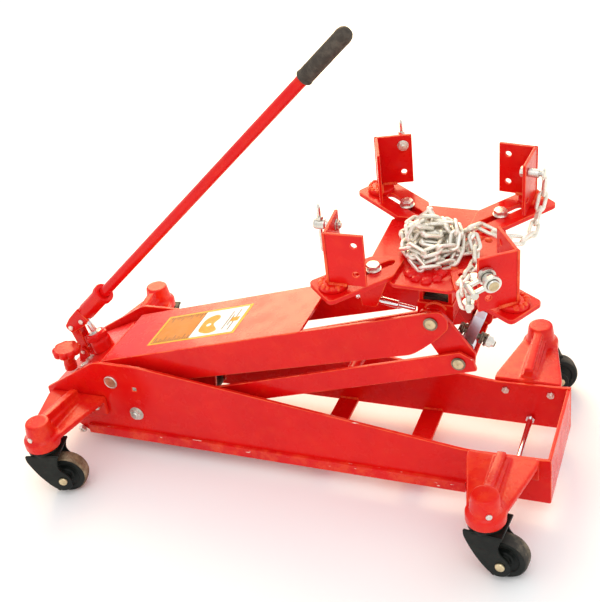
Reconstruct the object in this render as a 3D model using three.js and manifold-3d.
// Floor transmission jack. Millimetres, +Z up, +X towards the head, +Y the far side.
// Lengths are worked out from the middle of the wheelbase on the floor, then the whole jack is
// moved by `shift` so that the origin is the bottom centre of its bounding box.
import * as THREE from 'three';
import { mergeVertices } from 'three/addons/utils/BufferGeometryUtils.js';
import Module from 'manifold-3d';

const wasm = await Module();
wasm.setup();

// ---------------------------------------------------------------- driving dimensions
const shift = [-3.5, -4.178, 0];
const gap = 0.35;
const facets = 14;

const frameY = 99.7;          // outer face of a side plate
const plateT = 6;
const floorClear = 28.5;      // underside of the frame
const casterX = 400;
const casterY = 230.9;
const wheelR = 37.5;
const wheelW = 28;
const trail = 30;

const armY = 79;              // outer face of the lift arm
const armT = 5.5;
const armRear = [-322, 155.3];
const armHead = [286.5, 344.2];
const linkRear = [-281.8, 89.4];
const linkHead = [327.8, 274.2];

const ramRear = [-380, 110];
const ramHead = [-172, 106];

const pumpFoot = [-432, 150];
const pumpLever = [-445.1, 204.2];
const pumpTop = [-418.4, 220.8];
const pumpAxis = [-0.36, 0.933];
const handleDir = [0.728, 0.6855];

const headTilt = 2.3;         // fore and aft lean of the head, degrees, nose down
const headRoll = 4.0;         // sideways lean of the head, degrees, near side down
const headOrigin = [283.8, 0, 438.6];
const rollPinDrop = 34;       // roll pin below the saddle's top face
const slotBolt = [77.2, 93.2];
const barT = 8;
const barW = 65.2;
const foldIn = 16.3;          // upright's corner, in from the bar's outer end
const uprightTop = 105;
const uprightFoot = 16.6;

// ---------------------------------------------------------------- paint and metal
const finish = {
  red: [0xc8141a, 0.28, 0.0],
  zinc: [0xc9c7bd, 0.32, 0.9],
  tan: [0xb9a274, 0.4, 0.85],
  black: [0x23221f, 0.5, 0.1],
  rubber: [0x2a2622, 0.8, 0.0],
  chrome: [0xd5d8da, 0.12, 1.0],
};

// ---------------------------------------------------------------- solids
function solid(geometry) {
  const bare = geometry.clone();
  bare.deleteAttribute('normal');
  bare.deleteAttribute('uv');
  const merged = mergeVertices(bare, 1e-4);
  return new wasm.Manifold(new wasm.Mesh({
    numProp: 3,
    vertProperties: new Float32Array(merged.attributes.position.array),
    triVerts: new Uint32Array(merged.index.array),
  }));
}

function moved(manifold, matrix) {
  return manifold.transform(matrix.elements);
}

function union(list) {
  return list.reduce((sum, item) => sum.add(item));
}

function cut(body, ...tools) {
  return tools.flat().reduce((rest, tool) => rest.subtract(tool), body);
}

function block(x0, x1, y0, y1, z0, z1) {
  const geometry = new THREE.BoxGeometry(x1 - x0, y1 - y0, z1 - z0);
  geometry.translate((x0 + x1) / 2, (y0 + y1) / 2, (z0 + z1) / 2);
  return solid(geometry);
}

// A round bar, or a cone, from one point to another. sides = 6 gives a hexagon.
function rod(from, to, r, r2 = r, sides = facets) {
  const a = new THREE.Vector3(...from);
  const b = new THREE.Vector3(...to);
  const span = b.clone().sub(a);
  const geometry = new THREE.CylinderGeometry(r2, r, span.length(), sides);
  const turn = new THREE.Quaternion().setFromUnitVectors(new THREE.Vector3(0, 1, 0), span.clone().normalize());
  geometry.applyQuaternion(turn);
  geometry.translate(...a.add(b).multiplyScalar(0.5).toArray());
  return solid(geometry);
}

// A round part turned about the line from one point towards another: profile of [radius, distance].
function turned(from, towards, profile, sides = facets) {
  const a = new THREE.Vector3(...from);
  const axis = new THREE.Vector3(...towards).sub(a).normalize();
  const geometry = new THREE.LatheGeometry(profile.map((p) => new THREE.Vector2(...p)), sides);
  geometry.applyQuaternion(new THREE.Quaternion().setFromUnitVectors(new THREE.Vector3(0, 1, 0), axis));
  geometry.translate(...from);
  return solid(geometry);
}

// Outline with corners [x, y, radius]; a corner with no radius stays sharp.
function outline(points, shape = new THREE.Shape()) {
  const count = points.length;
  for (let i = 0; i < count; i += 1) {
    const [x, y, r = 0] = points[i];
    const here = new THREE.Vector2(x, y);
    const before = new THREE.Vector2(...points[(i + count - 1) % count].slice(0, 2));
    const after = new THREE.Vector2(...points[(i + 1) % count].slice(0, 2));
    const start = here.clone().add(before.sub(here).setLength(r));
    const end = here.clone().add(after.sub(here).setLength(r));
    if (i === 0) {
      shape.moveTo(start.x, start.y);
    } else {
      shape.lineTo(start.x, start.y);
    }
    if (r > 0) {
      shape.quadraticCurveTo(here.x, here.y, end.x, end.y);
    }
  }
  shape.closePath();
  return shape;
}

function circlePoints(cx, cy, r, count) {
  return Array.from({ length: count }, (_, i) => {
    const angle = (2 * Math.PI * i) / count;
    return [cx + r * Math.cos(angle), cy + r * Math.sin(angle)];
  });
}

function extrude(points, holes, depth) {
  const shape = outline(points);
  for (const hole of holes) {
    const edge = Array.isArray(hole[0]) ? hole : circlePoints(...hole, 12);
    shape.holes.push(outline(edge, new THREE.Path()));
  }
  return new THREE.ExtrudeGeometry(shape, { depth, bevelEnabled: false, curveSegments: 3 });
}

// Plates cut from an outline: seen from the side (x, z), from above (x, y), or from the front (y, z).
function plateSide(points, y0, y1, holes = []) {
  const geometry = extrude(points, holes, y1 - y0);
  geometry.rotateX(Math.PI / 2);
  geometry.translate(0, y1, 0);
  return solid(geometry);
}

function plateTop(points, z0, z1, holes = []) {
  const geometry = extrude(points, holes, z1 - z0);
  geometry.translate(0, 0, z0);
  return solid(geometry);
}

function plateFront(points, x0, x1, holes = []) {
  const geometry = extrude(points, holes, x1 - x0);
  geometry.applyMatrix4(new THREE.Matrix4().makeBasis(
    new THREE.Vector3(0, 1, 0), new THREE.Vector3(0, 0, 1), new THREE.Vector3(1, 0, 0)));
  geometry.translate(x0, 0, 0);
  return solid(geometry);
}

// A round bar bent along a smooth line through points.
function bent(points, r, steps = 24, sides = 8) {
  const shape = new THREE.Shape().absarc(0, 0, r, 0, 2 * Math.PI);
  const line = new THREE.CatmullRomCurve3(points.map((p) => new THREE.Vector3(...p)));
  return solid(new THREE.ExtrudeGeometry(shape, { extrudePath: line, steps, curveSegments: sides / 2 }));
}

// A bar along y, from y0 to y1, at a point [x, z] seen from the side.
function across([x, z], y0, y1, r, sides = facets) {
  return rod([x, y0, z], [x, y1, z], r, r, sides);
}

// ---------------------------------------------------------------- the assembly
const jack = new THREE.Group();
jack.name = 'transmission_jack';

function add(name, manifold, kind) {
  const mesh = manifold.translate(shift).getMesh();
  const geometry = new THREE.BufferGeometry();
  geometry.setAttribute('position', new THREE.BufferAttribute(new Float32Array(mesh.vertProperties), 3));
  geometry.setIndex(new THREE.BufferAttribute(new Uint32Array(mesh.triVerts), 1));
  geometry.computeVertexNormals();
  const [color, roughness, metalness] = finish[kind];
  const part = new THREE.Mesh(geometry, new THREE.MeshStandardMaterial({ color, roughness, metalness }));
  part.name = name;
  jack.add(part);
}

// ---- frame: two side plates with a rub rail, joined by an end plate, two straps and a tie rod
const sideOutline = [
  [-469, 105], [-469, 122, 3], [-350, 195, 14], [-258, 195, 20], [341, 115, 20], [463, 118],
  [476, 119.5, 3], [476, floorClear, 4], [-400, floorClear, 10], [-440, 60, 10],
];
for (const side of [-1, 1]) {
  const inner = side * (frameY - plateT);
  const outer = side * frameY;
  const [y0, y1] = [Math.min(inner, outer), Math.max(inner, outer)];
  const squareHole = [[-279, 141], [-271, 141], [-271, 149], [-279, 149]];
  const holes = [[...armRear, 10.5], [...linkRear, 8.5], squareHole, [363, 101, 4.6], [442, 101, 4.6]];
  holes.push([-437, 101, 4.6], [-363, 101, 4.6]);
  const skin = plateSide(sideOutline, y0, y1, holes);
  const railOutside = side * (frameY + 7);
  const rail = block(-394, 336, Math.min(outer - side, railOutside), Math.max(outer - side, railOutside), 29, 49);
  add(side < 0 ? 'side_plate_near' : 'side_plate_far', skin.add(rail), 'red');
}
const webY = frameY - plateT - gap;
add('end_plate_front', plateFront(
  [[-webY, floorClear, 2], [webY, floorClear, 2], [webY, 117.5, 2], [-webY, 117.5, 2]], 469.5, 475.5), 'red');
for (const [name, x] of [['cross_strap_rear', 63.5], ['cross_strap_front', 228]]) {
  add(name, block(x - 19, x + 19, -webY, webY, floorClear, floorClear + 5.5), 'red');
}
add('tie_rod', across([407, 45], -webY, webY, 5), 'zinc');

// ---- outriggers: a cast web with a rib, carrying the caster's housing and its tapered cap
function outrigger(name, x, side) {
  const root = frameY + gap;
  const web = plateTop([
    [x - 58, side * root], [x + 58, side * root], [x + 58, side * (root + 14), 6],
    [x + 30, side * casterY], [x - 30, side * casterY], [x - 58, side * (root + 14), 6],
  ], 110, 120);
  const flangeYs = [side * root, side * (root + 8)].sort((a, b) => a - b);
  const flange = block(x - 58, x + 58, ...flangeYs, 80, 116);
  const rib = plateFront([
    [side * (root + 10), 118], [side * (root + 10), 136, 4], [side * (casterY - 18), 150],
    [side * (casterY - 4), 151], [side * (casterY - 4), 118],
  ], x - 8, x + 8);
  const keel = plateFront([
    [side * (root + 4), 112], [side * (root + 4), 84], [side * (casterY - 34), 102], [side * (casterY - 20), 112],
  ], x - 5, x + 5);
  const housing = turned([x, side * casterY, 0], [x, side * casterY, 10], [
    [0, 101], [32, 101], [32, 119], [29.5, 122], [25, 122], [21.5, 150], [19.5, 152.5], [0, 152.5],
  ]);
  const bore = rod([x, side * casterY, 90], [x, side * casterY, 119], 7.8);
  const boltHoles = [-1, 1].map((s) => across([x + s * 39.5, 101], ...[side * (root - 4), side * (root + 12)]
    .sort((a, b) => a - b), 4.6, 12));
  add(name, cut(union([web, flange, rib, keel, housing]), bore, boltHoles), 'red');
}
outrigger('outrigger_rear_near', -casterX, -1);
outrigger('outrigger_rear_far', -casterX, 1);
outrigger('outrigger_front_near', casterX, -1);
outrigger('outrigger_front_far', casterX, 1);

// ---- casters: black fork with its stem and axle, and a wheel trailing behind the stem
function caster(name, x, side, yaw) {
  const place = new THREE.Matrix4().makeTranslation(x, side * casterY, 0)
    .multiply(new THREE.Matrix4().makeRotationZ(THREE.MathUtils.degToRad(yaw)));
  const crown = rod([0, 0, 91], [0, 0, 100.4], 29);
  const deck = block(-14, 34, -28.7, 28.7, 91, 96);
  const stem = rod([0, 0, 96], [0, 0, 117], 7);
  const cheekOutline = [
    [-26, 96, 4], [-22, 84, 6], [trail - 15, 44, 6], [trail - 12, 24, 9], [trail + 12, 24, 9],
    [trail + 15, 44, 6], [34, 96],
  ];
  const cheeks = [-1, 1].map((s) => plateSide(cheekOutline, ...[s * 24.7, s * 28.7].sort((a, b) => a - b)));
  const axle = across([trail, wheelR], -30.7, 30.7, 5);
  const caps = [-1, 1].map((s) => across([trail, wheelR], ...[s * 28, s * 33].sort((a, b) => a - b), 7.5, 6));
  add(`caster_fork_${name}`, moved(union([crown, deck, stem, ...cheeks, axle, ...caps]), place), 'black');
  const half = wheelW / 2;
  const wheel = turned([trail, 0, wheelR], [trail, 10, wheelR], [
    [5.6, -half - 4], [13, -half - 4], [14, -half + 3], [27, -half + 3], [33.5, -half],
    [wheelR, -half + 5], [wheelR, half - 5], [33.5, half],
    [27, half - 3], [14, half - 3], [13, half + 4], [5.6, half + 4], [5.6, -half - 4],
  ], 22);
  add(`caster_wheel_${name}`, moved(wheel, place), 'rubber');
}
caster('rear_near', -casterX, -1, 15);
caster('rear_far', -casterX, 1, 8);
caster('front_near', casterX, -1, -6);
caster('front_far', casterX, 1, 24);

// ---- lift arm: a channel open at the bottom, its top plate stopping short of the head
const topSlope = 0.2846;
const topAt = (x) => 184.7 + topSlope * (x + 344.5);
const bottomAt = (x) => 228 + 0.262 * (x - 54);
const armOutline = [
  [-344.5, topAt(-344.5), 4], [303, topAt(303) - 1, 10], [314, 350, 6], [313, 336, 4], [297, 317], [272, 295, 6],
  [252, bottomAt(252), 10], [-296, bottomAt(-296), 12], [-338, 124, 14], [-352, 152, 12],
];
const armSides = [-1, 1].map((side) => plateSide(
  armOutline, ...[side * armY, side * (armY - armT)].sort((a, b) => a - b),
  [[...armRear, 10.6], [...armHead, 9.4]]));
const armTop = plateSide([
  [-344, topAt(-344) - 0.3], [60.7, topAt(60.7) - 0.3], [60.7, topAt(60.7) - 6], [-344, topAt(-344) - 6],
], -armY + 1, armY - 1);
const ramLugs = [-1, 1].map((side) => plateSide([
  [-214, topAt(-214) - 4], [-130, topAt(-130) - 4], [-152, 98, 6], [-172, 88, 8], [-192, 98, 6],
], ...[side * 19, side * 25].sort((a, b) => a - b)));
const ramPin = across(ramHead, -27, 27, 7);
const lugBridge = plateSide([[-196, 214], [-150, 226], [-152, 212], [-192, 200]], -25, 25);
add('lift_arm', union([...armSides, armTop, ...ramLugs, ramPin, lugBridge]), 'red');
for (const side of [-1, 1]) {
  const ends = (a, b) => [side * a, side * b].sort((p, q) => p - q);
  add(side < 0 ? 'arm_pivot_near' : 'arm_pivot_far', union([
    across(armRear, ...ends(66, frameY + 1), 10), across(armRear, ...ends(frameY + gap, frameY + 3.6), 13.5),
    across(armRear, ...ends(armY + 1, frameY - plateT - 1), 14),
  ]), 'zinc');
  add(side < 0 ? 'link_pivot_near' : 'link_pivot_far', union([
    across(linkRear, ...ends(66, frameY + 10), 7.8), across(linkRear, ...ends(frameY + gap, frameY + 2.4), 14),
    across(linkRear, ...ends(frameY + 2.2, frameY + 8), 11, 6),
    across(linkRear, ...ends(armY + 1, frameY - plateT - 1), 12),
  ]), 'zinc');
}
add('arm_head_pin', union([
  across(armHead, -armY - 3, armY + 3, 9), across(armHead, -armY - 4.5, -armY - gap, 11),
  across(armHead, armY + gap, armY + 4.5, 11),
]), 'tan');

// ---- lower link: two bars, joined by a tube, that keep the head level
const linkAngle = Math.atan2(linkHead[1] - linkRear[1], linkHead[0] - linkRear[0]);
const linkLength = Math.hypot(linkHead[0] - linkRear[0], linkHead[1] - linkRear[1]);
const alongLink = new THREE.Matrix4().makeTranslation(linkRear[0], 0, linkRear[1])
  .multiply(new THREE.Matrix4().makeRotationY(-linkAngle));
const linkBars = [-1, 1].map((side) => plateSide([
  [-19, 19, 17], [linkLength + 8, 19, 2], [linkLength + 25, 2, 2], [linkLength + 25, -19, 4], [-19, -19, 17],
], ...[side * armY, side * (armY - armT)].sort((a, b) => a - b), [[0, 0, 8.4], [linkLength, 0, 9.4]]));
const linkTube = across([440, 0], -armY + 1, armY - 1, 11);
add('lower_link', moved(union([...linkBars, linkTube]), alongLink), 'red');
add('link_head_pin', union([
  across(linkHead, -armY - 3, armY + 3, 9), across(linkHead, -armY - 4.5, -armY - gap, 11),
  across(linkHead, armY + gap, armY + 4.5, 11),
]), 'tan');

// ---- carrier: two plates between the head pins, with two cross plates
const carrierPlates = [-1, 1].map((side) => plateSide([
  [266, 360, 8], [303, 358, 10], [353, 287, 4], [350, 260, 8], [334, 250, 8], [306, 256, 6], [262, 330, 8],
], ...[side * 67.5, side * 61.5].sort((a, b) => a - b), [[...armHead, 9.5], [...linkHead, 10.9]]));
const carrierFloor = plateSide([[310, 257], [343, 259], [343, 253.5], [310, 252.5]], -62, 62);
const carrierBack = plateSide([[272, 303], [299, 295], [297, 289], [271, 297]], -62, 62);
add('carrier_bracket', union([...carrierPlates, carrierFloor, carrierBack]), 'red');

// ---- tilt strap on the link pin, and the screw with its springs and nut that leans the head
const strapDir = [0.386, 0.9225];
const strapPoint = (s, t) => [linkHead[0] + strapDir[0] * s + strapDir[1] * t, linkHead[1] + strapDir[1] * s
  - strapDir[0] * t];
const screwY = -25;
const screwFrom = [317.5, screwY, 307.3];
const screwTo = [374, screwY, 279.6];
const screwBore = rod([300, screwY, 315.9], [390, screwY, 271.8], 6.2);
const strap = plateSide([
  [...strapPoint(0, -9), 5], [...strapPoint(66, -9), 2], [...strapPoint(66, 9), 2], [...strapPoint(0, 9), 5],
], screwY - 10, screwY + 10);
const strapEye = across(linkHead, screwY - 10, screwY + 10, 14);
const strapBore = across(linkHead, screwY - 20, screwY + 20, 10.9);
add('tilt_strap', cut(strap.add(strapEye), strapBore, screwBore), 'zinc');
const springCoil = (a, b, r) => {
  const profile = [];
  const turns = Math.round((b - a) / 4.5);
  for (let i = 0; i <= turns; i += 1) {
    const d = a + ((b - a) * i) / turns;
    profile.push([r - 1.8, d - 0.01], [r, d + 0.9]);
  }
  return profile;
};
add('tilt_screw', turned(screwFrom, screwTo, [
  [0, 0], [9, 0], [9, 1], ...springCoil(1.5, 10.4, 10.2), [5.2, 12.2], [5.2, 35], ...springCoil(35.4, 44, 10.2),
  [8.5, 46], [11, 46.2], [11, 49], [9.6, 49.2], [9.6, 57], [4.8, 57.2], [4.8, 62], [0, 62.8],
], 14), 'tan');

// ---- tilt yoke on the arm's head pin: sleeve, block, two walls and the roll pin
const intoYoke = new THREE.Matrix4().makeTranslation(armHead[0], 0, armHead[1])
  .multiply(new THREE.Matrix4().makeRotationY(THREE.MathUtils.degToRad(headTilt)));
const rollPin = [2.37, 60.3];
const yokeWall = (x0, x1) => plateFront([[-40, 14], [40, 14], [40, 66, 8], [26, 76, 6], [-26, 76, 6], [-40, 66, 8]],
  x0, x1);
const yoke = cut(union([
  across([0, 0], -60, 60, 17), block(-30, 27.5, -46, 46, -15.5, 16), yokeWall(-29, -22), yokeWall(18, 25),
  rod([-36, ...rollPin], [32, ...rollPin], 8),
]), across([0, 0], -70, 70, 9.5));
add('tilt_yoke', moved(yoke, intoYoke), 'red');

// ---- saddle plate with its roll lug, tilt rod tab, welded boss and ears under the arms
const intoHead = new THREE.Matrix4().makeTranslation(...headOrigin)
  .multiply(new THREE.Matrix4().makeRotationY(THREE.MathUtils.degToRad(headTilt)))
  .multiply(new THREE.Matrix4().makeRotationX(THREE.MathUtils.degToRad(headRoll)));
const corners = [[-1, -1], [1, -1], [1, 1], [-1, 1]];
const saddleSkin = plateTop([
  [-94, -60, 3], [-42, -113, 3], [45, -113, 3], [94, -60, 3], [94, 60, 3], [42, 113, 3], [-42, 113, 3], [-94, 60, 3],
], -6.5, 0);
const ears = corners.map(([sx, sy]) => rod([sx * slotBolt[0], sy * slotBolt[1], -6.5],
  [sx * slotBolt[0], sy * slotBolt[1], 0], 22));
const earHoles = corners.map(([sx, sy]) => rod([sx * slotBolt[0], sy * slotBolt[1], -20],
  [sx * slotBolt[0], sy * slotBolt[1], 6], 6.2, 6.2, 16));
const rollLug = cut(union([block(-14.5, 23.5, -17, 17, -rollPinDrop, -6), rod([-14.5, 0, -rollPinDrop],
  [23.5, 0, -rollPinDrop], 17)]), rod([-20, 0, -rollPinDrop], [30, 0, -rollPinDrop], 8.6));
const weldBoss = turned([2, -78, 0], [2, -78, 10], [[0, -1], [28, -1], [28, 2], [24, 5.5], [0, 6.5]], 20);
const rodTab = plateSide([
  [-92, -3], [-62, -3], [-62, -20], [-92, -98, 4], [-116, -98, 4], [-121, -72, 4],
], -51, -39);
const rodBore = rod([-130, -45, -80.6], [-80, -45, -87.9], 5.2, 5.2, 16);
add('saddle_plate', moved(cut(union([saddleSkin, ...ears, rollLug, weldBoss, rodTab]), earHoles, rodBore),
  intoHead), 'red');
add('side_tilt_rod', moved(turned([-126, -45, -81.2], [-76, -45, -88.5], [
  [0, 0], [6.5, 0], [6.5, 3.6], [4.8, 3.8], [4.8, 42], [6.5, 42.2], [6.5, 70], [4, 71], [4, 98], [0, 98.6],
], 16), intoHead), 'zinc');

// ---- four slotted arms, each held by one bolt and carrying an upright that swivels
// turn: way the arm points, from the x axis; out: bolt to outer end; swivel: upright against arm
const armSet = [
  { name: 'near_rear', sx: -1, sy: -1, turn: 48.8, out: 95.8, swivel: -0.7 },
  { name: 'far_rear', sx: -1, sy: 1, turn: 35.5, out: 94.7, swivel: 10.9 },
  { name: 'far_front', sx: 1, sy: 1, turn: 51.1, out: 89.7, swivel: -11.0 },
  { name: 'near_front', sx: 1, sy: -1, turn: 31.5, out: 104.3, swivel: 21.7 },
];
const wallX = 60.5;
const wallY = 66.9;
const wallT = 5;
const swivelIn = foldIn + 9;
const studAt = [51, 79.5];      // chain stud on the near front upright: along the wall, and up

// Matrix from the arm's own axes (x inwards along the slot, origin at the outer end) to the saddle.
function armMatrix({ sx, sy, turn, out }) {
  const t = THREE.MathUtils.degToRad(turn);
  const dir = [sx * Math.cos(t), sy * Math.sin(t)];
  const end = [sx * slotBolt[0] + dir[0] * out, sy * slotBolt[1] + dir[1] * out];
  return new THREE.Matrix4().makeTranslation(end[0], end[1], 0)
    .multiply(new THREE.Matrix4().makeRotationZ(Math.atan2(-dir[1], -dir[0])));
}

// Matrix from the upright's own axes (origin at its corner, walls at 45 degrees to +x) to the saddle.
function uprightMatrix(arm) {
  return armMatrix(arm)
    .multiply(new THREE.Matrix4().makeTranslation(foldIn, 0, 0))
    .multiply(new THREE.Matrix4().makeRotationZ(THREE.MathUtils.degToRad(arm.swivel)));
}

const toWall = (s, along, outwards) => {
  const c = Math.SQRT1_2;
  return [c * (along - outwards), s * c * (along + outwards)];
};

for (const arm of armSet) {
  const { name, sx, sy } = arm;
  const bar = plateTop([
    [0, -barW / 2, 10], [0, barW / 2, 10], [111, barW / 2, 3], [147, 6, 2], [147, -6, 2], [111, -barW / 2, 3],
  ].reverse(), gap, gap + barT, [
    [[48.5, -6.5, 6], [129.5, -6.5, 6], [136, 0, 5], [129.5, 6.5, 6], [48.5, 6.5, 6], [42, 0, 5]],
    [swivelIn, 0, 7.6],
  ]);
  const inSaddle = armMatrix(arm);
  add(`support_arm_${name}`, moved(bar, new THREE.Matrix4().multiplyMatrices(intoHead, inSaddle)), 'red');

  const [bx, by] = [sx * slotBolt[0], sy * slotBolt[1]];
  add(`slot_bolt_${name}`, moved(union([
    rod([bx, by, -18], [bx, by, 12], 5.6, 5.6, 16), rod([bx, by, 8.7], [bx, by, 10.6], 12.5),
    rod([bx, by, 10.4], [bx, by, 18], 10.6, 10.2, 6), rod([bx, by, -14.5], [bx, by, -7], 10, 10, 6),
  ]), intoHead), 'zinc');

  const first = sx * sy > 0 ? wallY : wallX;
  const second = sx * sy > 0 ? wallX : wallY;
  const angle = plateTop([
    [0, 0, 4], toWall(-1, second, 0), toWall(-1, second, -wallT), toWall(1, wallT, -wallT),
    toWall(1, first, -wallT), toWall(1, first, 0),
  ], uprightFoot - 0.5, uprightTop);
  const holeAt = (s, along, z) => rod([...toWall(s, along, -20), z], [...toWall(s, along, 20), z], 4.8, 4.8, 10);
  const upper = name === 'near_front' ? studAt : [first - 15, 87];
  const holes = [holeAt(1, first - 15, 37), holeAt(1, ...upper), holeAt(-1, second - 15, 37)];
  holes.push(holeAt(-1, second - 15, 87));
  const pivotAt = new THREE.Vector3(swivelIn - foldIn, 0, 0)
    .applyAxisAngle(new THREE.Vector3(0, 0, 1), THREE.MathUtils.degToRad(-arm.swivel));
  const seat = rod([pivotAt.x, pivotAt.y, gap + barT + gap], [pivotAt.x, pivotAt.y, uprightFoot], 22.5);
  const stud = rod([pivotAt.x, pivotAt.y, 1], [pivotAt.x, pivotAt.y, 12], 7, 7, 16);
  add(`upright_${name}`, moved(cut(union([angle, seat, stud]), holes),
    new THREE.Matrix4().multiplyMatrices(intoHead, uprightMatrix(arm))), 'red');
}

// ---- hardware on the uprights
function onUpright(index, manifold) {
  return moved(manifold, new THREE.Matrix4().multiplyMatrices(intoHead, uprightMatrix(armSet[index])));
}

// A hook bolt on the outside of a wall: cross block on a bolt, with a vertical pin that ends in a hook.
function hookBolt(s, length) {
  const at = (along, outwards, z) => [...toWall(s, along, outwards), z];
  const along = length - 15;
  return union([
    rod(at(along, -13, 87), at(along, 16, 87), 4.2, 4.2, 8), rod(at(along, -10, 87), at(along, -5.4, 87), 8.5, 8.5, 6),
    rod(at(along, 0.4, 87), at(along, 29, 87), 8),
    bent([at(along, 20, 122), at(along, 20, 90), at(along, 20, 60), at(along, 20, 44), at(along + 3, 20, 37),
      at(along + 9, 20, 37), at(along + 13, 20, 43)], 3, 9, 6),
  ]);
}
add('hook_bolt_near', onUpright(0, hookBolt(1, wallY)), 'zinc');
add('hook_bolt_far', onUpright(1, hookBolt(1, wallX)), 'zinc');

// The chain's anchor: a bolt through the wall with a spacer sleeve and an end washer.
function anchorBolt(s, length, z, reach) {
  const at = (along, outwards) => [...toWall(s, along, outwards), z];
  const along = length - 15;
  return union([
    rod(at(along, -13), at(along, reach), 4.2, 4.2, 8), rod(at(along, -12), at(along, -5.4), 8.5, 8.5, 6),
    rod(at(along, 0.4), at(along, reach - 8), 7), rod(at(along, reach - 3), at(along, reach), 9.5),
  ]);
}
add('chain_anchor_far', onUpright(2, anchorBolt(1, wallY, 87, 26)), 'zinc');
const onStudWall = (along, outwards, z) => [...toWall(1, along, outwards), z];
const [studAlong, studUp] = studAt;
add('chain_stud_near', onUpright(3, union([
  rod(onStudWall(studAlong, -12, studUp), onStudWall(studAlong, 2, studUp), 4.2, 4.2, 8),
  rod(onStudWall(studAlong, -10, studUp), onStudWall(studAlong, -5.4, studUp), 8.5, 8.5, 6),
  rod(onStudWall(studAlong, 0.4, studUp), onStudWall(studAlong, 32, studUp), 8.5),
])), 'zinc');
const shackleSide = (outwards) => union([
  cut(rod(onStudWall(studAlong, outwards - 3.2, studUp), onStudWall(studAlong, outwards + 3.2, studUp), 13),
    rod(onStudWall(studAlong, outwards - 6, studUp), onStudWall(studAlong, outwards + 6, studUp), 9.2)),
  rod(onStudWall(studAlong + 10.5, outwards, studUp - 3.7), onStudWall(78, outwards, 70), 3.6, 3.6, 8),
]);
add('chain_shackle', onUpright(3, union([
  shackleSide(6), shackleSide(25), rod(onStudWall(78, 1.5, 70), onStudWall(78, 30.5, 70), 4.6, 4.6, 8),
])), 'zinc');

// ---- the chain: a pile on the saddle and two leads, as plain solids
const pile = turned([0, -2, 0], [0, -2, 10], [
  [0, 0.5], [44, 0.5], [46, 9.2], [58, 9.2], [62, 18], [55, 31], [36, 42], [0, 46.5],
], 18);
add('chain_pile', moved(pile, intoHead), 'zinc');
add('chain_lead_far', moved(bent([[64, 18, 33], [80, 15, 32], [97, 12, 28], [120, 22, 12], [135, 50, 8],
  [136, 80, 12], [139, 104, 30], [142, 110, 52], [143, 111, 72]], 5, 16, 6), intoHead), 'zinc');
add('chain_lead_near', moved(bent([[61, -28, 33], [59, -50, 26], [55, -74, 20], [54, -104, 17], [62, -130, 18],
  [76, -146, 20]], 5, 10, 6), intoHead), 'zinc');

// ---- pump block at the rear, with lugs for the ram and a tilted pump barrel
const blockOutline = [
  [-461, 46, 4], [-461, 114, 3], [-412, 139, 2], [-408, 133, 2], [-408, 46, 4],
];
const barrelAt = (d) => [pumpTop[0] - pumpAxis[0] * d, pumpTop[1] - pumpAxis[1] * d];
const point3 = ([x, z], y = 0) => [x, y, z];
const barrelTop = barrelAt(34);
const barrelLow = barrelAt(84);
const pumpBody = plateSide(blockOutline, -86, 86);
const barrel = rod(point3(barrelLow), point3(barrelTop), 20, 19);
const barrelBore = rod(point3(barrelAt(76)), point3(barrelAt(10)), 7, 7, 18);
const deckSlope = 0.474;
const deckPlate = plateSide([[-463, 113], [-463, 119], [-366, 165, 3], [-361, 159, 3], [-410, 136]], -85, 85);
const footLugs = [-1, 1].map((side) => plateSide([
  [-447, 118], [-441, 154, 5], [-432, 161, 6], [-422, 152, 5], [-420, 134],
], ...[side * 12, side * 17].sort((a, b) => a - b)));
const footPin = across(pumpFoot, -19, 19, 4);
const ramEars = [-1, 1].map((side) => plateSide([
  [-412, 128, 3], [-378, 126, 8], [-364, 110, 10], [-378, 94, 8], [-412, 92, 3],
], ...[side * 30, side * 37].sort((a, b) => a - b)));
const ramRearPin = across(ramRear, -39, 39, 8);
const pumpScrews = [-50, -72].map((y) => {
  const z = 119 + (-385 + 463) * deckSlope;
  return rod([-385, y, z - 5], [-385 - 7.6 * deckSlope, y, z + 2.6], 6, 6, 6);
});
const trim = cut(union([pumpBody, deckPlate, barrel]), barrelBore);
add('pump_block', union([trim, ...footLugs, footPin, ...ramEars, ramRearPin, ...pumpScrews]), 'red');

// ---- pump drive: swinging link, plunger, handle socket and the handle with its grip
const linkHole = 7.4;
const swing = [-1, 1].map((side) => {
  const [y0, y1] = [side * 6.5, side * 10.5].sort((a, b) => a - b);
  const bar = plateSide([[-441, 150], [-423, 150], [-434, 206], [-456, 203]], y0, y1);
  const ends = [across(pumpFoot, y0, y1, 9.5), across(pumpLever, y0, y1, 12.5)];
  return cut(union([bar, ...ends]), across(pumpFoot, -20, 20, 4.6), across(pumpLever, -20, 20, linkHole));
});
const swingBridge = plateSide([[-443, 172], [-433, 174], [-431, 182], [-441, 180]], -7, 7);
add('pump_link', union([...swing, swingBridge]), 'red');
add('pump_plunger', union([
  rod(point3(barrelAt(72)), point3(barrelAt(5)), 6.3, 6.3, 20),
  cut(rod(point3(barrelAt(9)), point3(barrelAt(-7)), 5.6, 5.6, 16), across(pumpTop, -20, 20, 4.6)),
]), 'chrome');
const handleAt = (d) => [pumpLever[0] + handleDir[0] * d, pumpLever[1] + handleDir[1] * d];
const cheekAngle = Math.atan2(handleDir[1], handleDir[0]);
const alongHandle = new THREE.Matrix4().makeTranslation(pumpLever[0], 0, pumpLever[1])
  .multiply(new THREE.Matrix4().makeRotationY(-cheekAngle));
const cheeks = [-1, 1].map((side) => plateSide([
  [-10, -9, 7], [-10, 10, 7], [14, 15, 3], [46, 16], [46, -15], [28, -16, 6], [8, -12, 6],
], ...[side * 11.2, side * 16.2].sort((a, b) => a - b)));
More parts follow.
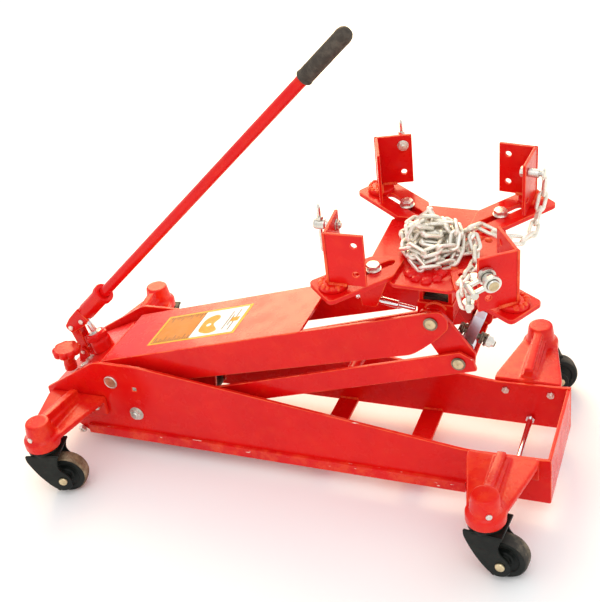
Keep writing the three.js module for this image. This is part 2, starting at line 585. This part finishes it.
const socketTube = cut(rod([44, 0, 0], [108, 0, 0], 16.5), rod([56, 0, 0], [140, 0, 0], 10.6));
const collar = cut(rod([104, 0, 0], [115, 0, 0], 19.5), rod([56, 0, 0], [140, 0, 0], 10.6));
const pinFlat = across(pumpTop, -18.5, 18.5, 4);
add('handle_socket', moved(union([...cheeks, socketTube, collar, across([0, 0], -18.5, 18.5, 4)]), alongHandle)
  .add(pinFlat), 'red');
add('handle_bar', union([
  rod(point3(handleAt(58)), point3(handleAt(742)), 10.1),
  turned(point3(handleAt(736)), point3(handleAt(760)), [
    [0, 0], [12.5, 0], [13.6, 4], [13.6, 96], [12, 104], [7, 109], [0, 111],
  ]),
]), 'red');

// ---- release knob: an upright stem with a lobed disc
const knobX = -442;
const knobY = -51;
const lobes = circlePoints(knobX, knobY, 24, 7).map(([x, y]) => rod([x, y, 170], [x, y, 181.5], 5.6, 5.6, 10));
add('release_knob', union([
  turned([knobX, knobY, 0], [knobX, knobY, 10], [
    [0, 135.6], [12, 135.6], [12, 150], [10.5, 153], [10.5, 164], [15, 169], [26, 170], [26, 181.5],
    [23, 183.5], [0, 184],
  ]), ...lobes,
]), 'red');

// ---- ram: cylinder pinned to the pump block, rod pinned under the lift arm
const ramDir = [ramHead[0] - ramRear[0], ramHead[1] - ramRear[1]];
const ramLength = Math.hypot(...ramDir);
const ramAt = (d) => [ramRear[0] + (ramDir[0] / ramLength) * d, ramRear[1] + (ramDir[1] / ramLength) * d];
const ramEye = cut(across(ramRear, -26, 26, 20), across(ramRear, -30, 30, 8.5));
const ramShell = cut(rod(point3(ramAt(17)), point3(ramAt(120)), 25), rod(point3(ramAt(28)), point3(ramAt(130)), 12.6));
add('ram_cylinder', ramEye.add(ramShell), 'red');
const ramEnd = cut(across(ramHead, -15, 15, 19), across(ramHead, -20, 20, 11.5));
add('ram_rod', rod(point3(ramAt(46)), point3(ramAt(ramLength - 15)), 12, 12).add(ramEnd)
  .subtract(across(ramHead, -20, 20, 11.5)), 'chrome');

export default jack;
